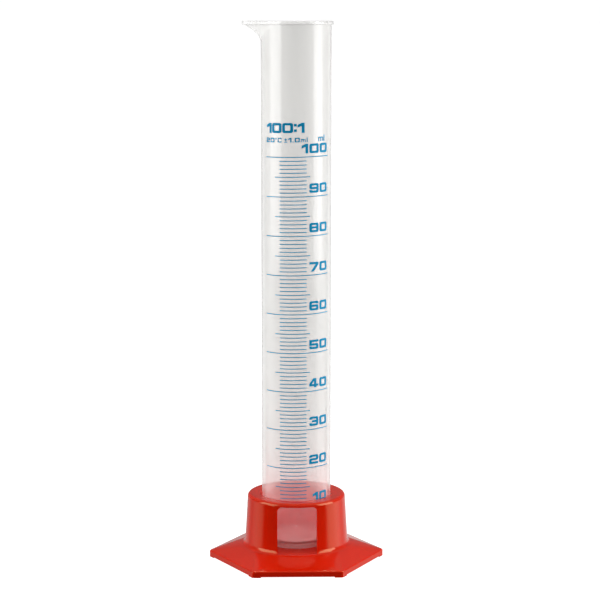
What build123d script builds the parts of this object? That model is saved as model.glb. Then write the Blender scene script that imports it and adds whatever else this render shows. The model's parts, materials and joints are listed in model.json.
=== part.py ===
from build123d import *
import math
import os

# A graduated cylinder of moulded plastic: a translucent tube with a beaded lip and a pouring
# spout, its printed scale, and the hexagonal foot whose socket holds the tube.
# Sizes are in millimetres and angles in degrees. The origin lies on the table under the tube's
# axis, with Z up. The scale and the foot's window face -Y, and the spout points along -X.

# Tube
capacity = 100  # ml
bore = 27.4
wall = 1.5
tube_length = 229.9
bottom_thickness = 2.6
bottom_edge_radius = 3.0
bottom_inner_radius = 3.5

# Lip and spout
lip_overhang = 0.85
lip_height = 1.6
lip_rounding = 0.55
spout_reach = 7.2
spout_depth = 9.8
spout_flare = 2.2
spout_step = 0.02
spout_nose = 2.2
channel_nose = 1.1
spout_sections = 6

# Printed scale: each line runs between two angles round the tube from its front
lowest_mark = 10  # ml
line_spans = {10: (-58.0, 61.0), 5: (-37.5, 22.0), 1: (-29.0, 16.0)}
line_width = 0.35
ink_thickness = 0.08
ink_gap = 0.01
print_skew = 1.2

# Foot: hexagonal plate, cored from below
across_corners = 77.8
corner_radius = 1.6
edge_height = 2.8
edge_rounding = 0.7
plate_height = 7.1
plate_wall = 2.0
root_arc = 28.0
rib_thickness = 1.6
rib_clearance = 0.8
pad_length = 3.6
pad_height = 0.4

# Foot: collar, socket and window
collar_height = 29.3
collar_top_radius = 21.55
collar_draft = 3.4
collar_wall = 2.0
collar_cover = 1.6
collar_rounding = 1.5
root_radius = 2.0
seat = 6.8
socket_clearance = 0.05
socket_draft = 0.9
socket_wall = 1.8
socket_lead_in = 0.5
window_width = 17.3
window_corner = 2.2
window_frame = 1.8

# Sizes that follow
tube_radius = bore / 2 + wall
rim = seat + tube_length
inside_floor = seat + bottom_thickness
spout_start = rim - spout_depth
collar_taper = math.tan(math.radians(collar_draft))
collar_foot_radius = collar_top_radius + collar_height * collar_taper
socket_top_radius = (
    tube_radius + socket_clearance + (collar_height - seat) * math.tan(math.radians(socket_draft))
)
sleeve_radius = socket_top_radius + socket_wall
cavity_roof = collar_height - collar_cover
cavity_floor = plate_height - plate_wall
TO_BASE = (Align.CENTER, Align.CENTER, Align.MIN)


def collar_radius(height):
    """Outer radius of the tapered collar at a height above the table."""
    return collar_foot_radius - height * collar_taper


def turned(*points):
    """Solid turned about the Z axis, from the radius and height of each corner of its section."""
    section = make_face(Polyline(*[(radius, 0, height) for radius, height in points], close=True))
    return revolve(section, Axis.Z)


def round_ended(radius, low, high, corner):
    """Column between two heights, with its lower edge rounded."""
    column = Pos(0, 0, low) * Cylinder(radius, high - low, align=TO_BASE)
    return fillet(column.edges().sort_by(Axis.Z)[0], corner)


def keel(depth):
    """How far the spout's underside stands out from the tube at this depth below the rim."""
    share = (spout_depth - depth) / (spout_depth - lip_height)
    return spout_step + (spout_reach - spout_step) * share**spout_flare


def pouring_outline(radius, reach, nose):
    """Circle of this radius, drawn out by reach to a rounded nose at -X."""
    nose_centre = radius + reach - nose
    spread = math.degrees(math.acos((radius - nose) / nose_centre))
    back = CenterArc((0, 0), radius, 180 + spread, 360 - 2 * spread)
    front = CenterArc((-nose_centre, 0), nose, 180 - spread, 2 * spread)
    return make_face([back, Line(back @ 1, front @ 0), front, Line(front @ 1, back @ 0)])


def spout_outlines(radius, nose, raised):
    """Outlines of the flare from its start up to the lip, all of them raised by this much."""
    step = (spout_depth - lip_height) / (spout_sections - 1)
    depths = [spout_depth - step * i for i in range(spout_sections)]
    return [Pos(0, 0, rim - d + raised) * pouring_outline(radius, keel(d), nose) for d in depths]


def make_tube():
    """One moulding: a closed bottom, a straight wall, and a beaded lip drawn out to the spout."""
    outside = round_ended(tube_radius, seat, spout_start, bottom_edge_radius)
    outside += loft(spout_outlines(tube_radius, spout_nose, 0))
    bead = pouring_outline(tube_radius + lip_overhang, spout_reach, spout_nose + lip_overhang)
    lip = extrude(Pos(0, 0, rim - lip_height) * bead, lip_height)
    outside += fillet(lip.edges().filter_by_position(Axis.Z, rim, rim), lip_rounding)

    channel = spout_outlines(bore / 2, channel_nose, lip_height)
    inside = round_ended(bore / 2, inside_floor, spout_start + lip_height, bottom_inner_radius)
    return outside - inside - loft(channel) - extrude(channel[-1], lip_height)


def level_of(millilitres):
    """Height at which this much liquid stands, which the rounding at the bottom lifts a little."""
    bore_area = math.pi * (bore / 2) ** 2
    column = round_ended(bore / 2, inside_floor, spout_start, bottom_inner_radius)
    return spout_start - (column.volume - 1000 * millilitres) / bore_area


def scale_line(start, end):
    """One line of ink at height zero, between two angles round the tube from its front."""
    inner = tube_radius + ink_gap
    outer = inner + ink_thickness
    half = line_width / 2
    section = make_face(
        Polyline((inner, 0, -half), (outer, 0, -half), (outer, 0, half), (inner, 0, half), close=True)
    )
    line = Rotation(0, 0, start - 90) * revolve(section, Axis.Z, end - start)
    return Rotation(0, -print_skew, 0) * line


def make_scale_marks():
    """One line a millilitre, longer at every fifth and tenth."""
    lines = {step: scale_line(*span) for step, span in line_spans.items()}
    empty, full = level_of(0), level_of(capacity)
    marks = []
    for ml in range(lowest_mark, capacity + 1):
        step = next(step for step in (10, 5, 1) if ml % step == 0)
        marks.append(Pos(0, 0, empty + (full - empty) * ml / capacity) * lines[step])
    return Compound(marks)


def six_sided(arc_centre, arc_radius, half_turn):
    """Face bounded by six arcs, centred this far from the axis, and straight sides between them."""
    arcs = []
    for turn in range(0, 360, 60):
        centre = Vector(arc_centre, 0).rotate(Axis.Z, turn)
        arcs.append(CenterArc(centre, arc_radius, turn - half_turn, 2 * half_turn))
    sides = [Line(arc @ 1, following @ 0) for arc, following in zip(arcs, arcs[1:] + arcs[:1])]
    return make_face([edge for pair in zip(arcs, sides) for edge in pair])


def plate_form(inset, bottom, edge_top, root_top):
    """Hexagonal plate: an upright edge, then a smooth rise to a round root inside the collar."""
    corner_centre = across_corners / 2 - (inset + corner_radius) / math.cos(math.radians(30))
    hexagon = six_sided(corner_centre, corner_radius, 30)
    root = six_sided(0, collar_radius(plate_height) - collar_wall / 2, root_arc)
    rise = loft([Pos(0, 0, edge_top) * hexagon, Pos(0, 0, root_top) * root], ruled=True)
    return extrude(Pos(0, 0, bottom) * hexagon, edge_top - bottom) + with_true_planes(rise)


def with_true_planes(form):
    """The same solid, with every flat face of a ruled loft made a plain plane."""
    faces = [Face(face.outer_wire()) if face.is_planar else face for face in form.faces()]
    return Solid(Shell(faces))


def foot_form():
    """The foot from outside, still solid: the plate and the collar with a rounded root."""
    plate = plate_form(0, 0, edge_height, plate_height)
    plate = fillet(plate.edges().filter_by_position(Axis.Z, edge_height, edge_height), edge_rounding)
    collar = turned(
        (0, edge_height),
        (collar_radius(edge_height), edge_height),
        (collar_top_radius, collar_height),
        (0, collar_height),
    )
    form = plate + collar
    low_edges = form.edges().filter_by_position(Axis.Z, edge_height, plate_height)
    form = fillet([edge for edge in low_edges if is_on_collar(edge)], root_radius)
    return fillet(form.edges().group_by(Axis.Z)[-1], collar_rounding)


def is_on_collar(edge):
    """Whether both ends and the middle of an edge lie on the collar's face."""
    points = [edge @ share for share in (0, 0.5, 1)]
    return all(abs(math.hypot(p.X, p.Y) - collar_radius(p.Z)) < 0.01 for p in points)


def window_opening():
    """Upright opening through the front, from the plate's top to the collar's cover."""
    height = cavity_roof - seat
    shape = Pos(0, seat + height / 2) * Rectangle(window_width, height)
    shape = fillet(shape.vertices().group_by(Axis.Y)[-1], window_corner)
    return extrude(Plane.XZ * shape, across_corners)


def underside_dish():
    """Space under the plate, crossed by the ribs that run from corner to corner."""
    dish = plate_form(plate_wall, -edge_height, edge_height - plate_wall, cavity_floor)
    for turn in range(0, 180, 60):
        rib = Box(across_corners, rib_thickness, cavity_floor - rib_clearance, align=TO_BASE)
        dish -= Rotation(0, 0, turn) * Pos(0, 0, rib_clearance) * rib
    return dish


def collar_pocket():
    """Space cored between the collar and the socket's sleeve, closed round the window."""
    pocket = turned(
        (sleeve_radius, cavity_floor),
        (collar_radius(cavity_floor) - collar_wall, cavity_floor),
        (collar_radius(cavity_roof) - collar_wall, cavity_roof),
        (sleeve_radius, cavity_roof),
    )
    frame_width = window_width + 2 * window_frame
    frame = Pos(0, 0, cavity_floor) * Box(
        frame_width, across_corners, collar_height, align=(Align.CENTER, Align.MAX, Align.MIN)
    )
    return pocket - frame


def make_foot():
    """One moulding: the hexagonal plate, the collar with its window, and the tube's socket."""
    socket = turned(
        (0, seat),
        (tube_radius + socket_clearance, seat),
        (socket_top_radius, collar_height),
        (0, collar_height),
    )
    foot = foot_form() - underside_dish() - collar_pocket() - socket
    mouth = [edge for edge in foot.edges().group_by(Axis.Z)[-1] if edge.radius < sleeve_radius]
    foot = chamfer(mouth, socket_lead_in) - window_opening()

    side = across_corners / 2 - 2 * pad_length
    gap = Pos(0, across_corners / 2, 0) * Box(side, across_corners / 2, 2 * pad_height)
    for turn in range(0, 360, 60):
        foot -= Rotation(0, 0, turn) * gap
    return foot


os.makedirs("parts", exist_ok=True)
export_step(make_tube(), "parts/tube.step")
export_step(make_scale_marks(), "parts/scale_marks.step")
export_step(make_foot(), "parts/foot.step")
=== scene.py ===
import json
import math

import bmesh
import bpy
from bpy.props import (
    FloatProperty,
    FloatVectorProperty,
    IntProperty,
    PointerProperty,
)
from mathutils import Matrix, Vector

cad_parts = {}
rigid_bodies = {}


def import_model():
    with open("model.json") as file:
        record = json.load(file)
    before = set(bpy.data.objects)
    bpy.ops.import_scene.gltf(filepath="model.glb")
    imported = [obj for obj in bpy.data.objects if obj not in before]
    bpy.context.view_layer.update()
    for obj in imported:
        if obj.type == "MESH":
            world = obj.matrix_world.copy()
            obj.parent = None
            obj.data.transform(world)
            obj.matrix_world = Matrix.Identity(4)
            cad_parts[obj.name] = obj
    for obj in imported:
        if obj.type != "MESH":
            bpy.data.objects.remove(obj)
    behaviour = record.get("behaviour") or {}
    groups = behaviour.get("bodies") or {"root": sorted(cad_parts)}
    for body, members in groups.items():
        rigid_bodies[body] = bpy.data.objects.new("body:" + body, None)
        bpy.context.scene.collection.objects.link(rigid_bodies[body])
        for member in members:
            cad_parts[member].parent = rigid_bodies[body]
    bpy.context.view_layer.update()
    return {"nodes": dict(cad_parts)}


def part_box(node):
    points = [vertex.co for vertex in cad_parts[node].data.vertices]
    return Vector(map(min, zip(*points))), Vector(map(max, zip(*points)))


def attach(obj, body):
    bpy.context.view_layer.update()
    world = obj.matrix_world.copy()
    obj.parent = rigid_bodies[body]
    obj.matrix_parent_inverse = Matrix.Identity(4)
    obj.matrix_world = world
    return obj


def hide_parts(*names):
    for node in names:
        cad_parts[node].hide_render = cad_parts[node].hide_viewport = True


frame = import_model()
tube_low, tube_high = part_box("tube")
marks_low, marks_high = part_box("scale_marks")
foot_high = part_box("foot")[1]

bl_info = {
    "name": "Measuring cylinder",
    "version": (1, 0, 0),
    "blender": (4, 5, 0),
    "location": "3D View > Sidebar > Cylinder",
    "description": "Dresses a plastic measuring cylinder: tube, printed scale and moulded foot",
    "category": "Object",
}

MM = 0.001
BODY = "root"
POLYPROPYLENE_IOR = 1.49


# Settings

class TubeSettings(bpy.types.PropertyGroup):
    """Sizes and finish of the translucent tube."""

    wall: FloatProperty(
        name="Wall", description="Thickness of the tube's wall", default=1.5 * MM, unit="LENGTH"
    )
    bottom: FloatProperty(
        name="Bottom", description="Thickness of the closed bottom", default=2.6 * MM, unit="LENGTH"
    )
    bottom_edge: FloatProperty(
        name="Bottom edge", description="Rounding under the bottom", default=3.0 * MM, unit="LENGTH"
    )
    bottom_inner: FloatProperty(
        name="Bottom inside", description="Rounding inside the bottom", default=3.5 * MM, unit="LENGTH"
    )
    lip_overhang: FloatProperty(
        name="Lip overhang", description="How far the lip stands out", default=0.85 * MM, unit="LENGTH"
    )
    lip_height: FloatProperty(
        name="Lip height", description="Height of the lip's bead", default=1.6 * MM, unit="LENGTH"
    )
    lip_rounding: FloatProperty(
        name="Lip rounding", description="Rounding on top of the lip", default=0.55 * MM, unit="LENGTH"
    )
    small_rounding: FloatProperty(
        name="Small rounding", description="Rounding of the lip's lesser edges", default=0.2 * MM,
        unit="LENGTH",
    )
    spout_depth: FloatProperty(
        name="Spout depth", description="How far down the spout starts", default=9.8 * MM, unit="LENGTH"
    )
    spout_flare: FloatProperty(
        name="Spout flare", description="How late the spout turns outwards", default=2.2
    )
    spout_nose: FloatProperty(
        name="Spout nose", description="Radius of the spout's keel", default=2.2 * MM, unit="LENGTH"
    )
    channel_nose: FloatProperty(
        name="Channel nose", description="Radius of the groove in the spout", default=1.1 * MM,
        unit="LENGTH",
    )
    sides: IntProperty(
        name="Sides", description="Faces round the tube", default=256, min=32
    )
    tint: FloatVectorProperty(
        name="Tint", description="Colour of the natural plastic", subtype="COLOR", size=3,
        default=(0.96, 0.957, 0.948), min=0, max=1,
    )
    clear_tint: FloatVectorProperty(
        name="Clear tint", description="Colour of the light that goes straight through a skin",
        subtype="COLOR", size=3, default=(0.985, 0.984, 0.98), min=0, max=1,
    )
    haze: FloatProperty(
        name="Haze", description="Share of light that each skin scatters, seen square on",
        default=0.3, subtype="FACTOR", min=0, max=1,
    )
    edge_haze: FloatProperty(
        name="Edge haze", description="Further share where the wall is seen on edge", default=0.35,
        subtype="FACTOR", min=0, max=1,
    )
    bottom_haze: FloatProperty(
        name="Bottom haze", description="Further share in the thick bottom", default=0.35,
        subtype="FACTOR", min=0, max=1,
    )
    thick_below: FloatProperty(
        name="Thick below", description="Height at which the wall runs into the thick bottom",
        default=9.5 * MM, unit="LENGTH",
    )
    lip_clearness: FloatProperty(
        name="Lip clearness", description="Part of the haze that is left in the solid lip",
        default=0.45, subtype="FACTOR", min=0, max=1,
    )
    # Painted shade: how far the straight-through light is darkened in a band in the corner under the lip
    painted_lip_shade: FloatProperty(
        name="Lip shade", description="Part of the light that is lost in the corner under the lip",
        default=0.08, subtype="FACTOR", min=0, max=1,
    )
    spout_edge: FloatProperty(
        name="Spout edge", description="Part of the edge haze that is left in the thin spout",
        default=0.25, subtype="FACTOR", min=0, max=1,
    )
    forward: FloatProperty(
        name="Forward", description="Share of the scattered light that goes on through",
        default=0.85, subtype="FACTOR", min=0, max=1,
    )
    bottom_forward: FloatProperty(
        name="Bottom forward", description="The same share in the thick bottom", default=0.45,
        subtype="FACTOR", min=0, max=1,
    )


class ScaleSettings(bpy.types.PropertyGroup):
    """The printed scale: its lines, numbers and captions."""

    capacity: IntProperty(
        name="Capacity", description="Millilitres at the top line", default=100
    )
    lowest: IntProperty(
        name="Lowest mark", description="Millilitres at the bottom line", default=10
    )
    skew: FloatProperty(
        name="Skew", description="How far the print leans to the right", default=math.radians(1.2),
        subtype="ANGLE",
    )
    gap: FloatProperty(
        name="Ink gap", description="Space between the wall and the ink", default=0.01 * MM,
        unit="LENGTH",
    )
    thickness: FloatProperty(
        name="Ink thickness", description="Thickness of the print", default=0.08 * MM, unit="LENGTH"
    )
    line_width: FloatProperty(
        name="Line width", description="Width of a scale line", default=0.35 * MM, unit="LENGTH"
    )
    line_sides: IntProperty(
        name="Line sides", description="Faces along a scale line", default=28
    )
    digit_height: FloatProperty(
        name="Digit height", description="Height of the scale's numbers", default=4.1 * MM,
        unit="LENGTH",
    )
    digit_rise: FloatProperty(
        name="Digit rise", description="Space between a line and its number", default=1.5 * MM,
        unit="LENGTH",
    )
    numbers_end: FloatProperty(
        name="Numbers' end", description="Angle from the front to the numbers' right edge",
        default=math.radians(59.5), subtype="ANGLE",
    )
    ink: FloatVectorProperty(
        name="Ink", description="Colour of the print", subtype="COLOR", size=3,
        default=(0.0, 0.25, 0.47), min=0, max=1,
    )


class FootSettings(bpy.types.PropertyGroup):
    """Finish of the moulded foot."""

    colour: FloatVectorProperty(
        name="Colour", description="Colour of the foot's plastic", subtype="COLOR", size=3,
        default=(0.64, 0.012, 0.001), min=0, max=1,
    )
    roughness: FloatProperty(
        name="Roughness", description="Roughness of the moulded skin", default=0.11,
        subtype="FACTOR", min=0, max=1,
    )
    core_roughness: FloatProperty(
        name="Core roughness", description="Roughness inside, where the mould's core was duller",
        default=0.5, subtype="FACTOR", min=0, max=1,
    )
    core_radius: FloatProperty(
        name="Core radius", description="Radius inside which the skin is the core's",
        default=21.3 * MM, unit="LENGTH",
    )
    glow: FloatProperty(
        name="Glow", description="Share of the light that spreads inside the plastic", default=0.2,
        subtype="FACTOR", min=0, max=1,
    )


class StudioSettings(bpy.types.PropertyGroup):
    """Camera, floor and lights."""

    camera_distance: FloatProperty(
        name="Camera distance", description="From the tube's axis to the camera", default=803.7 * MM,
        unit="LENGTH",
    )
    camera_height: FloatProperty(
        name="Camera height", description="From the table to the camera", default=238.1 * MM,
        unit="LENGTH",
    )
    camera_tilt: FloatProperty(
        name="Camera tilt", description="How far the camera looks down", default=math.radians(8.66),
        subtype="ANGLE",
    )
    camera_turn: FloatProperty(
        name="Camera turn", description="Angle round the object, from the front to its left",
        default=math.radians(1.25), subtype="ANGLE",
    )
    camera_slide: FloatProperty(
        name="Camera slide", description="Sideways step that sets the object off centre",
        default=1.65 * MM, unit="LENGTH",
    )
    lens: FloatProperty(
        name="Lens", description="Focal length, for a 36 mm sensor", default=111.29
    )
    floor_radius: FloatProperty(
        name="Floor radius", description="From the object to the backdrop", default=60.0,
        unit="LENGTH",
    )
    backdrop_height: FloatProperty(
        name="Backdrop height", description="Height of the backdrop round the floor", default=40.0,
        unit="LENGTH",
    )
    left_start: FloatProperty(
        name="Left start", description="Angle from the front at which the left glow starts",
        default=math.radians(84), subtype="ANGLE",
    )
    right_start: FloatProperty(
        name="Right start", description="Angle from the front at which the right glow starts",
        default=math.radians(73), subtype="ANGLE",
    )
    glow_softness: FloatProperty(
        name="Glow softness", description="How far round each glow's edge fades",
        default=math.radians(12), subtype="ANGLE",
    )
    left_glow: FloatProperty(name="Left glow", description="Brightness on the left", default=0.9)
    right_glow: FloatProperty(name="Right glow", description="Brightness on the right", default=1.6)
    ceiling: FloatProperty(name="Ceiling", description="Brightness overhead", default=0.49)
    low_back_glow: FloatProperty(name="Low back glow", description="Brightness low behind", default=0.25)
    front_shade: FloatProperty(name="Front shade", description="Brightness low in front", default=0.02)
    socket_fill: FloatProperty(
        name="Socket fill", description="Power of the fill light in the socket", default=0.005
    )
    room: FloatProperty(name="Room", description="Brightness of the room's walls", default=0.21)


# Shapes of the printed characters, in heights of a digit. A corner is x, y and its rounding.

BAR = 0.24  # height of a level stroke
POST = 0.3  # width of an upright stroke
WIDE = 1.13  # width of a digit
ROUND = 0.22  # outer corners
INNER = 0.06  # inner corners
TOP = 1 - BAR  # underside of the upper bar
OVER = 0.5 + BAR / 2  # top of the middle bar
UNDER = 0.5 - BAR / 2  # underside of the middle bar
FAR = WIDE - POST  # inner side of the right-hand post
DIGIT_SPACE = 0.13  # between two digits of a number
WORD_SPACE = 0.4  # between two words
CORNER_STEPS = 5  # straight pieces in a rounded corner

SLICE_WIDTH = 0.5 * MM  # a flat print is cut across at this distance, so that it can bend
WELD_DISTANCE = 0.0001 * MM  # points nearer than this are one


def block(left, low, right, high, rounding=0.0):
    """Outline of an upright rectangle."""
    return [(left, low, rounding), (right, low, rounding), (right, high, rounding), (left, high, rounding)]


def counter(low, high):
    """Hole inside a digit, between its two posts."""
    return block(POST, low, FAR, high, INNER)


def half_turned(outlines):
    """The same outlines turned upside down, as a nine is a six."""
    return [[(WIDE - x, 1 - y, rounding) for x, y, rounding in outline] for outline in outlines]


SIX = [
    [
        (WIDE, 0.7, 0), (WIDE, 1, ROUND), (0, 1, ROUND), (0, 0, ROUND), (WIDE, 0, ROUND),
        (WIDE, OVER, ROUND), (POST, OVER, 0), (POST, TOP, INNER), (FAR, TOP, INNER), (FAR, 0.7, 0),
    ],
    counter(BAR, UNDER),
]
CHARACTERS = {
    "0": [block(0, 0, WIDE, 1, ROUND), counter(BAR, TOP)],
    "1": [[
        (FAR, 0, 0), (WIDE, 0, 0), (WIDE, 1, 0), (FAR, 1, 0), (0.42, 0.8, 0), (0.42, 0.52, 0),
        (FAR, 0.68, 0),
    ]],
    "2": [[
        (0, 0.68, 0), (0, 1, ROUND), (WIDE, 1, ROUND), (WIDE, UNDER, ROUND), (POST, UNDER, 0),
        (POST, BAR, 0), (WIDE, BAR, 0), (WIDE, 0, 0), (0, 0, 0), (0, OVER, ROUND), (FAR, OVER, 0),
        (FAR, TOP, INNER), (POST, TOP, INNER), (POST, 0.68, 0),
    ]],
    "3": [[
        (0, 0.7, 0), (0, 1, ROUND), (WIDE, 1, ROUND), (WIDE, 0, ROUND), (0, 0, ROUND), (0, 0.3, 0),
        (POST, 0.3, 0), (POST, BAR, INNER), (FAR, BAR, INNER), (FAR, UNDER, 0), (0.32, UNDER, 0),
        (0.32, OVER, 0), (FAR, OVER, 0), (FAR, TOP, INNER), (POST, TOP, INNER), (POST, 0.7, 0),
    ]],
    "4": [
        [
            (0.56, 0, 0), (0.86, 0, 0), (0.86, 0.15, 0), (WIDE, 0.15, 0), (WIDE, 0.39, 0),
            (0.86, 0.39, 0), (0.86, 1, 0), (0.46, 1, 0), (0, 0.44, 0.1), (0, 0.15, 0), (0.56, 0.15, 0),
        ],
        [(0.3, 0.39, 0), (0.56, 0.39, 0), (0.56, 0.72, 0)],
    ],
    "5": [[
        (WIDE, 1, 0), (0, 1, 0), (0, UNDER, 0), (FAR, UNDER, INNER), (FAR, BAR, INNER),
        (POST, BAR, INNER), (POST, 0.3, 0), (0, 0.3, 0), (0, 0, ROUND), (WIDE, 0, ROUND),
        (WIDE, OVER, ROUND), (POST, OVER, 0), (POST, TOP, 0), (WIDE, TOP, 0),
    ]],
    "6": SIX,
    "7": [[
        (0, 1, 0), (WIDE, 1, 0.1), (WIDE, 0.74, 0.1), (0.52, 0, 0), (0.16, 0, 0), (0.74, TOP, 0),
        (0, TOP, 0),
    ]],
    "8": [block(0, 0, WIDE, 1, ROUND), counter(BAR, UNDER), counter(OVER, TOP)],
    "9": half_turned(SIX),
    ":": [block(0, 0.1, POST, 0.36), block(0, 0.64, POST, 0.9)],
    "m": [[
        (0, 0, 0), (0.19, 0, 0), (0.19, 0.52, 0), (0.44, 0.52, INNER), (0.44, 0, 0), (0.63, 0, 0),
        (0.63, 0.52, 0), (0.88, 0.52, INNER), (0.88, 0, 0), (1.07, 0, 0), (1.07, 0.7, ROUND),
        (0, 0.7, 0),
    ]],
    "l": [block(0, 0, 0.2, 1)],
    "C": [[
        (0.95, 0.68, 0), (0.95, 1, ROUND), (0, 1, ROUND), (0, 0, ROUND), (0.95, 0, ROUND),
        (0.95, 0.32, 0), (0.72, 0.32, 0), (0.72, 0.2, INNER), (0.23, 0.2, INNER), (0.23, 0.8, INNER),
        (0.72, 0.8, INNER), (0.72, 0.68, 0),
    ]],
    "°": [block(0, 0.6, 0.4, 1, 0.15), block(0.12, 0.72, 0.28, 0.88, 0.05)],
    ".": [block(0, 0, 0.24, 0.24)],
    "±": [
        [
            (0, 0.5, 0), (0.25, 0.5, 0), (0.25, 0.28, 0), (0.45, 0.28, 0), (0.45, 0.5, 0), (0.7, 0.5, 0),
            (0.7, 0.68, 0), (0.45, 0.68, 0), (0.45, 0.9, 0), (0.25, 0.9, 0), (0.25, 0.68, 0), (0, 0.68, 0),
        ],
        block(0, 0, 0.7, 0.18),
    ],
}


def rounded(outline):
    """Points round an outline, with an arc at each corner that has a rounding."""
    points = []
    for i, (x, y, radius) in enumerate(outline):
        corner = Vector((x, y))
        if not radius:
            points.append(corner)
            continue
        before = (Vector(outline[i - 1][:2]) - corner).normalized()
        after = (Vector(outline[(i + 1) % len(outline)][:2]) - corner).normalized()
        half = before.angle(after) / 2
        centre = corner + (before + after).normalized() * radius / math.sin(half)
        first = corner + before * radius / math.tan(half) - centre
        last = corner + after * radius / math.tan(half) - centre
        for step in range(CORNER_STEPS + 1):
            points.append(centre + radius * first.slerp(last, step / CORNER_STEPS))
    return points


def add_character(mesh, character, left, height):
    """Adds one flat character to a bmesh with its own origin at left, in metres."""
    edges = []
    for outline in CHARACTERS[character]:
        ring = [mesh.verts.new((left + p.x * height, p.y * height, 0)) for p in rounded(outline)]
        edges += [mesh.edges.new((a, b)) for a, b in zip(ring, ring[1:] + ring[:1])]
    bmesh.ops.triangle_fill(mesh, edges=edges, use_beauty=True, normal=(0, 0, 1))


def flat_text(name, text, height, tracking=0.12):
    """Mesh of a line of print, flat on XY, cut across in slices so that it can bend.

    A single character keeps its place in its cell, and the others stand side by side."""
    mesh = bmesh.new()
    left = 0
    for character in text:
        if character == " ":
            left += WORD_SPACE * height
            continue
        across = [x for outline in CHARACTERS[character] for x, _, _ in outline]
        start = min(across) if len(text) > 1 else 0
        add_character(mesh, character, left - start * height, height)
        left += (max(across) - start + tracking) * height
    for i in range(1, int(left / SLICE_WIDTH) + 1):
        whole = mesh.verts[:] + mesh.edges[:] + mesh.faces[:]
        bmesh.ops.bisect_plane(mesh, geom=whole, plane_co=(i * SLICE_WIDTH, 0, 0), plane_no=(1, 0, 0))
    for face in mesh.faces:
        if face.normal.z < 0:
            face.normal_flip()
    data = bpy.data.meshes.new(name)
    mesh.to_mesh(data)
    mesh.free()
    return data


# Node helpers

def add(tree, kind, inputs=(), **settings):
    """Adds a node. Inputs are pairs of a socket's name or number, and a value or another socket."""
    node = tree.nodes.new(kind)
    for key, value in settings.items():
        setattr(node, key, value)
    for key, value in inputs:
        if isinstance(value, bpy.types.NodeSocket):
            tree.links.new(value, node.inputs[key])
        else:
            node.inputs[key].default_value = value
    return node


def calc(tree, operation, *values):
    """Result of a Math node."""
    return add(tree, "ShaderNodeMath", list(enumerate(values)), operation=operation).outputs[0]


def vector(tree, x=0.0, y=0.0, z=0.0):
    """Result of a Combine XYZ node."""
    return add(tree, "ShaderNodeCombineXYZ", (("X", x), ("Y", y), ("Z", z))).outputs[0]


def parts_of(tree, value):
    """The X, Y and Z of a vector."""
    return add(tree, "ShaderNodeSeparateXYZ", ((0, value),)).outputs


def spread(tree, value, low, high):
    """A factor spread between two values."""
    return add(tree, "ShaderNodeMapRange", (("Value", value), ("To Min", low), ("To Max", high))).outputs[0]


def soft_step(tree, value, start, end, low, high):
    """Goes softly from low to high while the value goes from start to end."""
    return add(tree, "ShaderNodeMapRange", (
        ("Value", value), ("From Min", start), ("From Max", end), ("To Min", low), ("To Max", high)
    ), interpolation_type="SMOOTHSTEP").outputs[0]


def new_tree(name, sockets):
    """Geometry tree with named inputs, each a name and a socket type. Returns it and its input node."""
    tree = bpy.data.node_groups.new(name, "GeometryNodeTree")
    for label, kind in sockets:
        tree.interface.new_socket(name=label, in_out="INPUT", socket_type="NodeSocket" + kind)
    tree.interface.new_socket(name="Geometry", in_out="OUTPUT", socket_type="NodeSocketGeometry")
    return tree, add(tree, "NodeGroupInput").outputs


PRINT_SOCKETS = (
    ("Tube Radius", "Float"), ("Ink Gap", "Float"), ("Ink Thickness", "Float"), ("Skew", "Float"),
    ("Ink", "Material"),
)


def print_on_tube(tree, given, flat):
    """Wraps a flat print round the tube, gives it a thickness and its ink, and ends the tree.

    On the flat print, X runs round the tube from the front and Y is the height."""
    around, height, _ = parts_of(tree, add(tree, "GeometryNodeInputPosition").outputs[0])
    angle = calc(tree, "DIVIDE", around, given["Tube Radius"])
    radius = calc(tree, "ADD", given["Tube Radius"], given["Ink Gap"])
    across = calc(tree, "MULTIPLY", calc(tree, "SINE", angle), radius)
    front = calc(tree, "MULTIPLY", calc(tree, "COSINE", angle), radius)
    lean = calc(tree, "MULTIPLY", across, calc(tree, "TANGENT", given["Skew"]))
    place = vector(tree, across, calc(tree, "MULTIPLY", front, -1.0), calc(tree, "ADD", height, lean))
    film = add(tree, "GeometryNodeSetPosition", (("Geometry", flat), ("Position", place))).outputs[0]
    raised = add(tree, "GeometryNodeExtrudeMesh", (
        ("Mesh", film), ("Offset Scale", given["Ink Thickness"]), ("Individual", False)
    ))
    back = add(tree, "GeometryNodeFlipFaces", (("Mesh", film),))
    both = add(tree, "GeometryNodeJoinGeometry")
    tree.links.new(back.outputs[0], both.inputs[0])
    tree.links.new(raised.outputs[0], both.inputs[0])
    closed = add(tree, "GeometryNodeMergeByDistance", (
        ("Geometry", both.outputs[0]), ("Distance", WELD_DISTANCE)
    ))
    plain = add(tree, "GeometryNodeRealizeInstances", (("Geometry", closed.outputs[0]),))
    inked = add(tree, "GeometryNodeSetMaterial", (
        ("Geometry", plain.outputs[0]), ("Material", given["Ink"])
    ))
    add(tree, "NodeGroupOutput", ((0, inked.outputs[0]),))


def made_mesh(name, tree, values, source=None):
    """Object whose plain mesh is what the tree makes of the source with these input values."""
    thing = bpy.data.objects.new(name, source or bpy.data.meshes.new(name))
    bpy.context.scene.collection.objects.link(thing)
    modifier = thing.modifiers.new(name, "NODES")
    modifier.node_group = tree
    for item in tree.interface.items_tree:
        if item.in_out == "INPUT" and item.name in values:
            modifier[item.identifier] = values[item.name]
    evaluated = thing.evaluated_get(bpy.context.evaluated_depsgraph_get())
    mesh = bpy.data.meshes.new_from_object(evaluated)
    thing.modifiers.remove(modifier)
    thing.data = mesh
    mesh.name = name
    return thing


# Materials

RIPPLE_HEIGHT = 0.2 * MM


def principled(name, **values):
    """Material with one Principled shader. Returns it, its tree and the shader."""
    material = bpy.data.materials.new(name)
    material.use_nodes = True
    shader = material.node_tree.nodes["Principled BSDF"]
    for key, value in values.items():
        shader.inputs[key.replace("_", " ")].default_value = value
    return material, material.node_tree, shader


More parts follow.
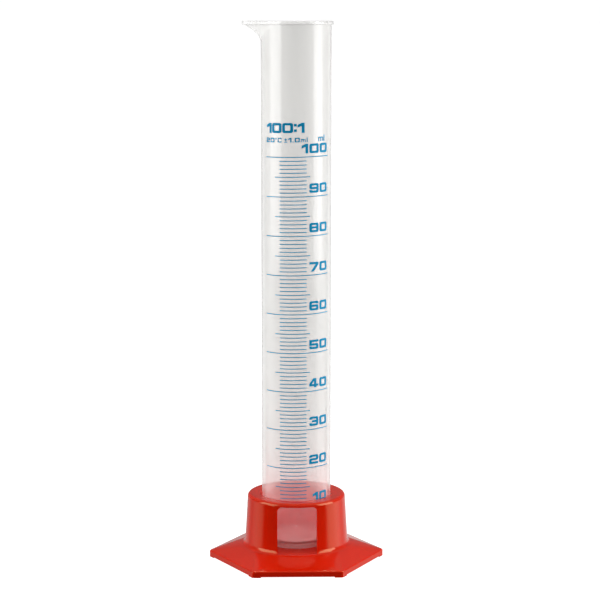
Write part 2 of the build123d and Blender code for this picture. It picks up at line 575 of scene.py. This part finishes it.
def noise(tree, scale, detail, stretch=(1, 1, 1)):
    """Factor of a Noise node on the piece's own coordinates, with the scale in cycles a metre."""
    place = add(tree, "ShaderNodeTexCoord").outputs["Object"]
    mapped = add(tree, "ShaderNodeMapping", (("Vector", place), ("Scale", stretch)))
    texture = add(tree, "ShaderNodeTexNoise", (
        ("Vector", mapped.outputs[0]), ("Scale", scale), ("Detail", detail)
    ))
    return texture.outputs[0]


def ripple(tree, height, strength):
    """Normal of a faintly uneven skin."""
    return add(tree, "ShaderNodeBump", (
        ("Height", height), ("Strength", strength), ("Distance", RIPPLE_HEIGHT)
    )).outputs[0]


def two_shades(tree, shader, factor, dark, light):
    """Base colour that wanders between a darker and a lighter shade."""
    colour = add(tree, "ShaderNodeMix", (
        (0, factor), (6, (*dark, 1)), (7, (*light, 1))
    ), data_type="RGBA").outputs[2]
    tree.links.new(colour, shader.inputs["Base Color"])


# Where the tube's finish and the painted shade under its lip change, and over what width
SPOUT_FADE_START = 1.5 * MM  # out from the round lip
SPOUT_FADE = 1.2 * MM
BOTTOM_FADE = 0.5 * MM
LIP_FADE = 0.3 * MM
# Painted shade under the lip: a band in which the straight-through light is darkened
CORNER_DROP = 0.1 * MM  # from the lip's underside down to the middle of the shaded corner
CORNER_HALF = 0.15 * MM  # the shade is full as far as this from its middle
CORNER_FADE = 0.4 * MM


def milky_polypropylene(size):
    """Natural translucent plastic: clouded through and through, under a smooth moulded skin.

    Each skin lets most light straight through and scatters the rest to both sides, more of it
    where the wall is seen on edge. In the corner under the lip, painted shade darkens the light
    that goes straight through."""
    material, tree, shader = principled("milky_polypropylene")
    tree.nodes.remove(shader)
    cloud = spread(tree, noise(tree, scale=60, detail=3, stretch=(1, 1, 0.25)), 0.92, 1.08)
    edgewise = add(tree, "ShaderNodeLayerWeight", (("Blend", 0.5),)).outputs["Facing"]
    across, _, height = parts_of(tree, add(tree, "ShaderNodeTexCoord").outputs["Object"])

    def along(value, start, width, low, high):
        """Soft change over this width from the start."""
        return soft_step(tree, value, start, start + width, low, high)

    lip_start = tube_high.z - size.lip_height
    in_tube = along(across, -tube_high.y - SPOUT_FADE_START, SPOUT_FADE, size.spout_edge, 1.0)
    edge = calc(tree, "MULTIPLY", calc(tree, "POWER", edgewise, 3.0), in_tube)
    thicker = calc(tree, "MULTIPLY_ADD", edge, size.edge_haze, size.haze)
    bottom = along(height, size.thick_below, BOTTOM_FADE, size.bottom_haze, 0.0)
    share = calc(tree, "MULTIPLY", calc(tree, "ADD", thicker, bottom), cloud)
    share = calc(tree, "MULTIPLY", share, along(height, lip_start, LIP_FADE, 1.0, size.lip_clearness))
    # Painted shade: a band just under the lip, darkest at its middle and fading out on both sides
    off_corner = calc(tree, "ABSOLUTE", calc(tree, "SUBTRACT", height, lip_start - CORNER_DROP))
    shade = along(off_corner, CORNER_HALF, CORNER_FADE, size.painted_lip_shade, 0.0)
    upright_streaks = noise(tree, scale=260, detail=2, stretch=(1, 1, 0.08))
    draw_lines = ripple(tree, upright_streaks, strength=0.08)
    thrown_back = add(tree, "ShaderNodeBsdfDiffuse", (("Color", (*size.tint, 1)), ("Normal", draw_lines)))
    passed_on = add(tree, "ShaderNodeBsdfTranslucent", (("Color", (*size.tint, 1)),))
    forward = along(height, size.thick_below, BOTTOM_FADE, size.bottom_forward, size.forward)
    scattered = add(tree, "ShaderNodeMixShader", (
        (0, forward), (1, thrown_back.outputs[0]), (2, passed_on.outputs[0])
    )).outputs[0]
    # The straight-through colour turns towards black in the painted shade under the lip
    through = add(tree, "ShaderNodeMix", (
        (0, shade), (6, (*size.clear_tint, 1)), (7, (0, 0, 0, 1))
    ), data_type="RGBA").outputs[2]
    clear = add(tree, "ShaderNodeBsdfTransparent", (("Color", through),)).outputs[0]
    wall = add(tree, "ShaderNodeMixShader", ((0, share), (1, clear), (2, scattered))).outputs[0]
    rough = spread(tree, noise(tree, scale=90, detail=3), 0.09, 0.16)
    gloss = add(tree, "ShaderNodeBsdfGlossy", (("Roughness", rough), ("Normal", draw_lines))).outputs[0]
    shine = add(tree, "ShaderNodeFresnel", (
        ("IOR", POLYPROPYLENE_IOR), ("Normal", draw_lines)
    )).outputs[0]
    behind = add(tree, "ShaderNodeNewGeometry").outputs["Backfacing"]
    shine = calc(tree, "MULTIPLY", shine, calc(tree, "SUBTRACT", 1.0, behind))
    skin = add(tree, "ShaderNodeMixShader", ((0, shine), (1, wall), (2, gloss))).outputs[0]
    tree.links.new(skin, tree.nodes["Material Output"].inputs["Surface"])
    return material


def printed_ink(scale):
    """Blue screen ink, a little uneven in colour and dull."""
    material, tree, shader = principled("printed_ink", Roughness=0.5, Specular_IOR_Level=0.15)
    dark = [0.85 * c for c in scale.ink]
    light = [min(1, 1.2 * c + 0.004) for c in scale.ink]
    two_shades(tree, shader, noise(tree, scale=900, detail=3), dark, light)
    return material


CORE_DEPTH = 0.5 * MM  # the duller skin starts this far below the foot's top


def red_polypropylene(foot):
    """Glossy coloured moulding with a faintly wavy skin, duller where the mould's core was."""
    material, tree, shader = principled(
        "red_polypropylene", IOR=POLYPROPYLENE_IOR, Subsurface_Weight=foot.glow,
        Subsurface_Scale=1.5 * MM, Subsurface_Radius=(1.0, 0.1, 0.03),
        Specular_Tint=(1, 0.9, 0.48, 1),
    )
    dark = [0.93 * c for c in foot.colour]
    light = [min(1, 1.06 * c) for c in foot.colour]
    two_shades(tree, shader, noise(tree, scale=22, detail=2), dark, light)
    polished = spread(tree, noise(tree, scale=400, detail=3), foot.roughness * 0.8, foot.roughness * 1.25)
    across, back, height = parts_of(tree, add(tree, "ShaderNodeTexCoord").outputs["Object"])
    across_squared = calc(tree, "MULTIPLY", across, across)
    radius = calc(tree, "SQRT", calc(tree, "MULTIPLY_ADD", back, back, across_squared))
    under_top = calc(tree, "LESS_THAN", height, foot_high.z - CORE_DEPTH)
    in_core = calc(tree, "MULTIPLY", calc(tree, "LESS_THAN", radius, foot.core_radius), under_top)
    rough = add(tree, "ShaderNodeMix", (
        (0, in_core), (2, polished), (3, foot.core_roughness)
    ), data_type="FLOAT").outputs[0]
    tree.links.new(rough, shader.inputs["Roughness"])
    waves = ripple(tree, noise(tree, scale=120, detail=2), strength=0.05)
    tree.links.new(waves, shader.inputs["Normal"])
    return material


# Tube

def outline_radius(angle, radius, reach, nose):
    """Distance from the axis to a circle that is drawn out to a rounded nose at angle zero."""
    centre = radius + reach - nose
    spread_angle = math.acos(min(1, (radius - nose) / centre))
    turn = abs(angle)
    nose_end = math.atan2(nose * math.sin(spread_angle), centre + nose * math.cos(spread_angle))
    if turn >= spread_angle:
        return radius
    if turn > nose_end:
        return radius / math.cos(turn - spread_angle)
    return centre * math.cos(turn) + math.sqrt(nose**2 - (centre * math.sin(turn)) ** 2)


def arc(radius, start, end, steps):
    """Points on a circle about the origin, from one angle to another in degrees."""
    angles = [math.radians(start + (end - start) * i / steps) for i in range(steps + 1)]
    return [(radius * math.cos(a), radius * math.sin(a)) for a in angles]


# Steps in the tube's section and round its spout
WALL_ROWS = 20
FLARE_ROWS = 24
EDGE_STEPS = 10
BEAD_STEPS = 8
SMALL_STEPS = 4
CROWDING = 0.5  # draws the sides together towards the spout
SHARP = math.radians(40)  # edges sharper than this aren't shaded as round


def tube_rows(size):
    """The wall's section from the middle of the underside over the lip to the middle of the inside.

    A row is a height, the radius of its circle, how far it is drawn out, and its nose's radius."""
    seat, rim = tube_low.z, tube_high.z
    lip = tube_high.y
    outer = lip - size.lip_overhang
    inner = outer - size.wall
    reach = -tube_low.x - lip
    floor = seat + size.bottom

    def keel(depth):
        share = (size.spout_depth - depth) / (size.spout_depth - size.lip_height)
        return reach * min(1, max(0, share)) ** size.spout_flare

    edge, inside, small, top = size.bottom_edge, size.bottom_inner, size.small_rounding, size.lip_rounding
    nose, groove = size.spout_nose, size.channel_nose
    rows = [(seat + edge + y, outer - edge + x, 0, nose) for x, y in arc(edge, -90, 0, EDGE_STEPS)]
    start = rim - size.spout_depth
    rows += [
        (seat + edge + (start - seat - edge) * i / WALL_ROWS, outer, 0, nose)
        for i in range(1, WALL_ROWS)
    ]
    for i in range(FLARE_ROWS + 1):
        depth = size.spout_depth - (size.spout_depth - size.lip_height) * i / FLARE_ROWS
        rows.append((rim - depth, outer, keel(depth), nose))
    over = size.lip_overhang
    rows += [
        (rim - size.lip_height + small + y, outer + over - small + x, reach, nose + over - small + x)
        for x, y in arc(small, -90, 0, SMALL_STEPS)
    ]
    rows += [
        (rim - top + y, outer + over - top + x, reach, nose + over - top + x)
        for x, y in arc(top, 0, 90, BEAD_STEPS)
    ]
    rows += [
        (rim - small + y, inner + small + x, reach, groove + small + x)
        for x, y in arc(small, 90, 180, SMALL_STEPS)
    ]
    for i in range(1, FLARE_ROWS + 1):
        depth = size.lip_height + small + (size.spout_depth - size.lip_height - small) * i / FLARE_ROWS
        rows.append((rim - depth + size.lip_height, inner, keel(depth), groove))
    stop = rim - size.spout_depth + size.lip_height
    rows += [
        (stop + (floor + inside - stop) * i / WALL_ROWS, inner, 0, groove) for i in range(1, WALL_ROWS)
    ]
    rows += [
        (floor + inside + y, inner - inside + x, 0, groove) for x, y in arc(inside, 0, -90, EDGE_STEPS)
    ]
    return rows


def tube_mesh(size):
    """One closed skin round the wall, both ends shut by a pole."""
    turns = [2 * math.pi * i / size.sides - math.pi for i in range(size.sides)]
    angles = [turn - CROWDING * math.sin(turn) for turn in turns]
    mesh = bmesh.new()
    rings = []
    for height, radius, reach, nose in tube_rows(size):
        ring = []
        for angle in angles:
            out = outline_radius(angle, radius, reach, nose)
            ring.append(mesh.verts.new((-out * math.cos(angle), -out * math.sin(angle), height)))
        rings.append(ring)
    for low, high in zip(rings, rings[1:]):
        for i in range(size.sides):
            mesh.faces.new((low[i - 1], low[i], high[i], high[i - 1]))
    for ring in (rings[0], rings[-1]):
        pole = mesh.verts.new((0, 0, ring[0].co.z))
        for i in range(size.sides):
            mesh.faces.new((ring[i - 1], ring[i], pole))
    bmesh.ops.recalc_face_normals(mesh, faces=mesh.faces)
    data = bpy.data.meshes.new("tube_body")
    mesh.to_mesh(data)
    mesh.free()
    data.shade_smooth()
    data.set_sharp_from_angle(angle=SHARP)
    return data


class MEASURING_OT_make_tube(bpy.types.Operator):
    """Turns the translucent tube with its lip and spout"""

    bl_idname = "measuring_cylinder.make_tube"
    bl_label = "Make tube"

    def execute(self, context):
        size = context.scene.cylinder_tube
        tube = bpy.data.objects.new("tube_body", tube_mesh(size))
        context.scene.collection.objects.link(tube)
        tube.data.materials.append(milky_polypropylene(size))
        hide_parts("tube")
        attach(tube, BODY)
        return {"FINISHED"}


# Printed scale

# Where each kind of line starts and ends, as angles round the tube from its front
LONG_SPAN = (-58.0, 61.0)
MEDIUM_SPAN = (-37.5, 22.0)
SHORT_SPAN = (-29.0, 16.0)


def levels(scale):
    """Heights of the lowest and highest lines, read from the frame's own lines."""
    outer = tube_high.y - bpy.context.scene.cylinder_tube.lip_overhang + scale.gap + scale.thickness
    lift = scale.line_width / 2 * math.cos(scale.skew)
    left = outer * math.sin(math.radians(-LONG_SPAN[0])) * math.sin(scale.skew)
    right = outer * math.sin(math.radians(LONG_SPAN[1])) * math.sin(scale.skew)
    return marks_low.z + lift + left, marks_high.z - lift - right


def scale_lines_tree():
    """Tree that sets one line a millilitre on the tube, longer at every fifth and tenth."""
    spans = ("Long", "Medium", "Short")
    sockets = [("Lowest", "Int"), ("Capacity", "Int"), ("First Level", "Float"), ("Step", "Float")]
    sockets += [("Line Width", "Float"), ("Line Sides", "Int")]
    sockets += [(f"{span} {end}", "Float") for span in spans for end in ("Start", "End")]
    tree, given = new_tree("scale_lines", sockets + list(PRINT_SOCKETS))
    count = calc(tree, "ADD", calc(tree, "SUBTRACT", given["Capacity"], given["Lowest"]), 1.0)
    ladder = add(tree, "GeometryNodeMeshLine", (
        ("Count", count), ("Start Location", vector(tree, z=given["First Level"])),
        ("Offset", vector(tree, z=given["Step"])),
    )).outputs[0]
    volume = calc(tree, "ADD", add(tree, "GeometryNodeInputIndex").outputs[0], given["Lowest"])

    def at_every(step, chosen, other):
        """One value at every so many millilitres, and another between them."""
        left_over = calc(tree, "MODULO", volume, float(step))
        is_there = calc(tree, "LESS_THAN", left_over, 0.5)
        return add(tree, "GeometryNodeSwitch", (
            (0, is_there), ("False", other), ("True", chosen)
        ), input_type="FLOAT").outputs[0]

    for end in ("Start", "End"):
        fifth = at_every(5, given[f"Medium {end}"], given[f"Short {end}"])
        value = at_every(10, given[f"Long {end}"], fifth)
        ladder = add(tree, "GeometryNodeStoreNamedAttribute", (
            ("Geometry", ladder), ("Name", end), ("Value", value)
        ), data_type="FLOAT", domain="POINT").outputs[0]
    strip = add(tree, "GeometryNodeMeshGrid", (
        ("Size X", 1.0), ("Size Y", 1.0), ("Vertices X", given["Line Sides"]), ("Vertices Y", 2)
    )).outputs[0]
    strips = add(tree, "GeometryNodeInstanceOnPoints", (("Points", ladder), ("Instance", strip))).outputs[0]
    strips = add(tree, "GeometryNodeRealizeInstances", (("Geometry", strips),)).outputs[0]
    along, across, level = parts_of(tree, add(tree, "GeometryNodeInputPosition").outputs[0])
    start, end = (
        add(tree, "GeometryNodeInputNamedAttribute", (("Name", name),), data_type="FLOAT").outputs[0]
        for name in ("Start", "End")
    )
    share = calc(tree, "ADD", along, 0.5)
    angle = calc(tree, "MULTIPLY_ADD", calc(tree, "SUBTRACT", end, start), share, start)
    around = calc(tree, "MULTIPLY", angle, given["Tube Radius"])
    height = calc(tree, "MULTIPLY_ADD", across, given["Line Width"], level)
    flat = add(tree, "GeometryNodeSetPosition", (
        ("Geometry", strips), ("Position", vector(tree, around, height))
    )).outputs[0]
    print_on_tube(tree, given, flat)
    return tree


def print_values(context):
    """Values for the inputs that every print tree has."""
    tube, scale = context.scene.cylinder_tube, context.scene.cylinder_scale
    ink = bpy.data.materials.get("printed_ink") or printed_ink(scale)
    return {
        "Tube Radius": tube_high.y - tube.lip_overhang, "Ink Gap": scale.gap,
        "Ink Thickness": scale.thickness, "Skew": scale.skew, "Ink": ink,
    }


class MEASURING_OT_print_lines(bpy.types.Operator):
    """Prints the scale's lines on the tube"""

    bl_idname = "measuring_cylinder.print_lines"
    bl_label = "Print lines"

    def execute(self, context):
        scale = context.scene.cylinder_scale
        low, high = levels(scale)
        values = {
            "Lowest": scale.lowest, "Capacity": scale.capacity, "First Level": low,
            "Step": (high - low) / (scale.capacity - scale.lowest),
            "Line Width": scale.line_width, "Line Sides": scale.line_sides,
        }
        for name, span in (("Long", LONG_SPAN), ("Medium", MEDIUM_SPAN), ("Short", SHORT_SPAN)):
            values[f"{name} Start"], values[f"{name} End"] = map(math.radians, span)
        lines = made_mesh("scale_lines", scale_lines_tree(), values | print_values(context))
        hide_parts("scale_marks")
        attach(lines, BODY)
        return {"FINISHED"}


def numbers_tree():
    """Tree that sets a number above every tenth line, from a set of flat digits."""
    sockets = [
        ("Digits", "Collection"), ("Count", "Int"), ("First Level", "Float"), ("Step", "Float"),
        ("Right Edge", "Float"), ("Pitch", "Float"),
    ]
    tree, given = new_tree("scale_numbers", sockets + list(PRINT_SOCKETS))
    digits = add(tree, "GeometryNodeCollectionInfo", (
        ("Collection", given["Digits"]), ("Separate Children", True), ("Reset Children", True)
    )).outputs[0]
    number = calc(tree, "ADD", add(tree, "GeometryNodeInputIndex").outputs[0], 1.0)
    joined = add(tree, "GeometryNodeJoinGeometry")

    def add_column(place, digit, shown):
        """One column of digits, counted from the right."""
        left = calc(tree, "SUBTRACT", given["Right Edge"], calc(tree, "MULTIPLY", given["Pitch"], place))
        ladder = add(tree, "GeometryNodeMeshLine", (
            ("Count", given["Count"]), ("Start Location", vector(tree, left, given["First Level"])),
            ("Offset", vector(tree, y=given["Step"])),
        )).outputs[0]
        column = add(tree, "GeometryNodeInstanceOnPoints", (
            ("Points", ladder), ("Selection", shown), ("Instance", digits), ("Pick Instance", True),
            ("Instance Index", digit),
        ))
        tree.links.new(column.outputs[0], joined.inputs[0])

    nought, one = (add(tree, "FunctionNodeInputInt", integer=value).outputs[0] for value in (0, 1))
    has_hundreds = calc(tree, "GREATER_THAN", number, 9.5)
    add_column(1.0, nought, True)
    add_column(2.0, calc(tree, "MODULO", number, 10.0), True)
    add_column(3.0, one, has_hundreds)
    flat = add(tree, "GeometryNodeRealizeInstances", (("Geometry", joined.outputs[0]),)).outputs[0]
    print_on_tube(tree, given, flat)
    return tree


class MEASURING_OT_print_numbers(bpy.types.Operator):
    """Prints the scale's numbers on the tube"""

    bl_idname = "measuring_cylinder.print_numbers"
    bl_label = "Print numbers"

    def execute(self, context):
        scale = context.scene.cylinder_scale
        digits = bpy.data.collections.new("digits")
        for digit in "0123456789":
            flat = flat_text("digit_" + digit, digit, scale.digit_height)
            digits.objects.link(bpy.data.objects.new("digit_" + digit, flat))
        shared = print_values(context)
        low, high = levels(scale)
        step = 10 * (high - low) / (scale.capacity - scale.lowest)
        values = {
            "Digits": digits, "Count": scale.capacity // 10,
            "First Level": low + scale.digit_rise, "Step": step,
            "Right Edge": scale.numbers_end * shared["Tube Radius"],
            "Pitch": (WIDE + DIGIT_SPACE) * scale.digit_height,
        }
        numbers = made_mesh("scale_numbers", numbers_tree(), values | shared)
        for digit in list(digits.objects):
            bpy.data.objects.remove(digit)
        bpy.data.collections.remove(digits)
        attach(numbers, BODY)
        return {"FINISHED"}


CAPTIONS = (
    # name, text, height of the capitals, space between them as a share of that, start angle, and
    # height over the top line
    ("ratio_caption", "100:1", 4.3 * MM, 0.06, -56.0, 10.3 * MM),
    ("accuracy_caption", "20°C ±1.0ml", 2.0 * MM, 0.2, -57.0, 6.3 * MM),
    ("unit_caption", "ml", 2.7 * MM, 0.12, 37.0, 6.4 * MM),
)


class MEASURING_OT_print_captions(bpy.types.Operator):
    """Prints the small captions over the scale"""

    bl_idname = "measuring_cylinder.print_captions"
    bl_label = "Print captions"

    def execute(self, context):
        scale = context.scene.cylinder_scale
        tree, given = new_tree("captions", (("Geometry", "Geometry"), *PRINT_SOCKETS))
        print_on_tube(tree, given, given["Geometry"])
        shared = print_values(context)
        _, top = levels(scale)
        for name, text, height, tracking, angle, rise in CAPTIONS:
            flat = flat_text(name + "_flat", text, height, tracking)
            flat.transform(Matrix.Translation((math.radians(angle) * shared["Tube Radius"], top + rise, 0)))
            caption = made_mesh(name, tree, shared, flat)
            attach(caption, BODY)
        return {"FINISHED"}


# Foot

class MEASURING_OT_finish_foot(bpy.types.Operator):
    """Gives the moulded foot its glossy red finish"""

    bl_idname = "measuring_cylinder.finish_foot"
    bl_label = "Finish foot"

    def execute(self, context):
        foot = frame["nodes"]["foot"]
        material = red_polypropylene(context.scene.cylinder_foot)
        foot.data.materials.clear()
        foot.data.materials.append(material)
        return {"FINISHED"}


# Studio

SENSOR_WIDTH = 36  # mm
NEAR, FAR_END = 0.01, 1000  # what the camera sees, in metres from it
LIT_POINT = (0, 0, 0.12)  # the lamps are turned towards it

# Directions in the painted world: upward and backward parts of a unit vector, and angles
FLOOR_LINE = -0.02
CEILING_EDGE = (0.4, 0.8)
LOW_BEHIND_EDGE = (0.5, 0.9)
GLOW_FADE = (math.radians(100), math.radians(132))
GLOW_AT_BACK = 0.25  # share of each glow that is left at the back

FILL_RADIUS = 8 * MM
FILL_RISE = 16 * MM  # over the tube's underside
FILL_COLOUR = (1, 0.06, 0.09)


def soft_box(name, place, width, height, power):
    """Area light turned towards the object, with its power in watts."""
    light = bpy.data.lights.new(name, "AREA")
    light.shape = "RECTANGLE"
    light.size, light.size_y, light.energy = width, height, power
    lamp = bpy.data.objects.new(name, light)
    lamp.location = place
    lamp.rotation_euler = (Vector(LIT_POINT) - Vector(place)).to_track_quat("-Z", "Y").to_euler()
    lamp.visible_camera = False
    bpy.context.scene.collection.objects.link(lamp)
    return lamp


def only_on_tube(lamp):
    """Makes a lamp light the tube and nothing else."""
    lit = bpy.data.collections.new("lit_by_" + lamp.name)
    lit.objects.link(bpy.data.objects["tube_body"])
    lamp.light_linking.receiver_collection = lit


def socket_fill(studio):
    """Small warm fill light low in the tube, where the foot's red walls pass light to and fro."""
    light = bpy.data.lights.new("socket_fill", "POINT")
    light.shadow_soft_size, light.energy, light.color = FILL_RADIUS, studio.socket_fill, FILL_COLOUR
    lamp = bpy.data.objects.new("socket_fill", light)
    lamp.location = (0, 0, tube_low.z + FILL_RISE)
    lamp.visible_camera = False
    bpy.context.scene.collection.objects.link(lamp)
    only_on_tube(lamp)


def pale_world(studio):
    """A dim room with a lighter ceiling, and below the table's level a soft glow on each side."""
    world = bpy.data.worlds.new("studio")
    world.use_nodes = True
    tree = world.node_tree
    tree.nodes.clear()
    direction = add(tree, "ShaderNodeTexCoord").outputs["Generated"]
    across, back, up = parts_of(tree, direction)
    around = calc(tree, "ARCTAN2", across, calc(tree, "MULTIPLY", back, -1.0))

    def glow(side, start, strength):
        """Brightness on one side of the room, from an angle off the front and fading to the back."""
        away = calc(tree, "MULTIPLY", around, side)
        soft = studio.glow_softness / 2
        rise = soft_step(tree, away, start - soft, start + soft, 0.0, strength)
        fade = soft_step(tree, away, *GLOW_FADE, 1.0, GLOW_AT_BACK)
        return calc(tree, "MULTIPLY", rise, fade)

    left = glow(-1.0, studio.left_start, studio.left_glow)
    right = glow(1.0, studio.right_start, studio.right_glow)
    sides = calc(tree, "ADD", left, right)
    low_behind = soft_step(tree, back, *LOW_BEHIND_EDGE, studio.front_shade, studio.low_back_glow)
    below = calc(tree, "ADD", sides, low_behind)
    above = soft_step(tree, up, *CEILING_EDGE, studio.room, studio.ceiling)
    is_below = calc(tree, "LESS_THAN", up, FLOOR_LINE)
    share = add(tree, "ShaderNodeMix", (
        (0, is_below), (2, above), (3, below)
    ), data_type="FLOAT").outputs[0]
    room = add(tree, "ShaderNodeBackground", (("Color", (1, 0.99, 0.975, 1)), ("Strength", share)))
    add(tree, "ShaderNodeOutputWorld", ((0, room.outputs[0]),))
    bpy.context.scene.world = world


def stage_piece(name, faces_of, own_light, colour):
    """Part of the stage, which only the camera sees, so that it neither lights nor tints the object."""
    mesh = bmesh.new()
    faces_of(mesh)
    data = bpy.data.meshes.new(name)
    mesh.to_mesh(data)
    mesh.free()
    piece = bpy.data.objects.new(name, data)
    bpy.context.scene.collection.objects.link(piece)
    material, _, shader = principled(name, Roughness=0.9, Base_Color=(colour, colour, colour, 1))
    shader.inputs["Emission Color"].default_value = (1, 1, 1, 1)
    shader.inputs["Emission Strength"].default_value = own_light
    shader.inputs["Specular IOR Level"].default_value = 0.0
    data.materials.append(material)
    piece.visible_glossy = piece.visible_diffuse = piece.visible_transmission = False
    piece.visible_shadow = False


def add_floor(studio):
    """Wide pale floor with a white backdrop round it."""
    sides, radius, top = 64, studio.floor_radius, studio.backdrop_height

    def floor(mesh):
        bmesh.ops.create_circle(mesh, cap_ends=True, segments=sides, radius=radius)

    def backdrop(mesh):
        rings = []
        for height in (0, top):
            turns = [2 * math.pi * i / sides for i in range(sides)]
            rings.append([
                mesh.verts.new((radius * math.cos(t), radius * math.sin(t), height)) for t in turns
            ])
        for i in range(sides):
            mesh.faces.new((rings[0][i], rings[0][i - 1], rings[1][i - 1], rings[1][i]))

    stage_piece("floor", floor, own_light=0.92, colour=0.4)
    stage_piece("backdrop", backdrop, own_light=1.0, colour=0.1)


def add_camera(studio):
    """Camera at the photograph's height, distance and tilt."""
    camera = bpy.data.cameras.new("camera")
    camera.lens, camera.sensor_width = studio.lens, SENSOR_WIDTH
    camera.clip_start, camera.clip_end = NEAR, FAR_END
    holder = bpy.data.objects.new("camera", camera)
    turn = Matrix.Rotation(-studio.camera_turn, 4, "Z")
    step = Matrix.Translation((studio.camera_slide, -studio.camera_distance, studio.camera_height))
    tilt = Matrix.Rotation(math.radians(90) - studio.camera_tilt, 4, "X")
    holder.matrix_world = turn @ step @ tilt
    bpy.context.scene.collection.objects.link(holder)
    bpy.context.scene.camera = holder


class MEASURING_OT_set_stage(bpy.types.Operator):
    """Sets the pale table, the soft lights and the camera"""

    bl_idname = "measuring_cylinder.set_stage"
    bl_label = "Set stage"

    def execute(self, context):
        studio = context.scene.cylinder_studio
        context.scene.view_settings.view_transform = "Standard"
        pale_world(studio)
        add_floor(studio)
        add_camera(studio)
        soft_box("left_box", (-0.77, -0.24, 0.35), width=0.68, height=0.7, power=5.8)
        soft_box("right_box", (0.77, -0.2, 0.35), width=0.56, height=0.7, power=6.6)
        socket_fill(studio)
        soft_box("top_box", (0, 0.25, 1.07), width=0.24, height=0.24, power=2.2)
        only_on_tube(soft_box("mouth_box", (0, 0, 1.1), width=0.12, height=0.12, power=2.2))
        return {"FINISHED"}


class MEASURING_PT_panel(bpy.types.Panel):
    """Lists the cylinder's settings and steps"""

    bl_idname = "MEASURING_PT_panel"
    bl_label = "Measuring cylinder"
    bl_space_type = "VIEW_3D"
    bl_region_type = "UI"
    bl_category = "Cylinder"

    def draw(self, context):
        for operator in OPERATORS:
            self.layout.operator(operator.bl_idname)
        for name in SETTINGS:
            group = getattr(context.scene, name)
            box = self.layout.box()
            for key in group.bl_rna.properties.keys():
                if key not in ("rna_type", "name"):
                    box.prop(group, key)


SETTINGS = {
    "cylinder_tube": TubeSettings,
    "cylinder_scale": ScaleSettings,
    "cylinder_foot": FootSettings,
    "cylinder_studio": StudioSettings,
}
OPERATORS = (
    MEASURING_OT_make_tube,
    MEASURING_OT_print_lines,
    MEASURING_OT_print_numbers,
    MEASURING_OT_print_captions,
    MEASURING_OT_finish_foot,
    MEASURING_OT_set_stage,
)


def register():
    for name, group in SETTINGS.items():
        bpy.utils.register_class(group)
        setattr(bpy.types.Scene, name, PointerProperty(type=group))
    for kind in (*OPERATORS, MEASURING_PT_panel):
        bpy.utils.register_class(kind)


def unregister():
    for kind in (MEASURING_PT_panel, *reversed(OPERATORS)):
        bpy.utils.unregister_class(kind)
    for name, group in reversed(SETTINGS.items()):
        delattr(bpy.types.Scene, name)
        bpy.utils.unregister_class(group)


def main():
    """Registers the add-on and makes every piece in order."""
    register()
    for operator in OPERATORS:
        group, name = operator.bl_idname.split(".")
        getattr(getattr(bpy.ops, group), name)()


if __name__ == "__main__":
    main()
